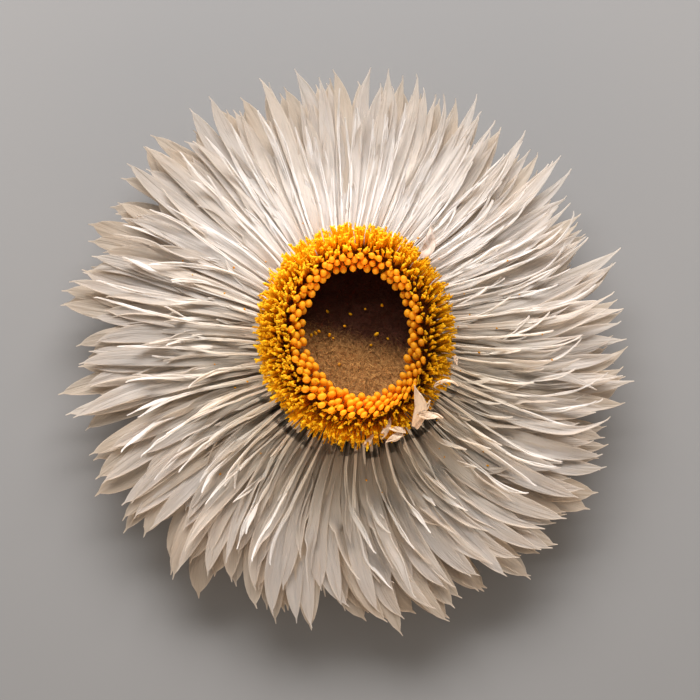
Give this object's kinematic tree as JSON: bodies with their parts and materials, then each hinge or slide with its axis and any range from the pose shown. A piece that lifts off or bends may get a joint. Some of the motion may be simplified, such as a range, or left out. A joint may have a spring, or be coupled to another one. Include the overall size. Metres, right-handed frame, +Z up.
{
  "type": "dried strawflower head",
  "caption": "Dried flower head cut off below the bloom, with papery layered bracts round a raised ring of florets, lying face up as a decoration.",
  "frame": {"origin": "centre of the stem's cut face", "axes": "+Z up along the stem to the open face of the bloom, +Y towards the top of the bloom as pictured, +X to its right"},
  "size_m": [0.0701, 0.07, 0.017],
  "materials": {
    "stem": "dry brown green stem tissue, ribbed, matt",
    "scale": "dry straw brown papery scale, slightly glossy",
    "cream_bract": "papery bract, cream with tan edges, satin",
    "white_bract": "papery bract, white with fine lengthwise streaks, satin",
    "floret": "deep yellow dried floret, matt",
    "bud": "orange yellow floret bud, waxy",
    "fuzz": "tan seed fuzz, matt"
  },
  "bodies": {
    "root": {"receptacle_with_stem": "stem", "outer_scales": "scale", "lower_bracts": "cream_bract", "upper_bracts": "white_bract", "open_florets": "floret", "floret_buds": "bud", "pappus_bed": "fuzz"}
  },
  "joints": []
}
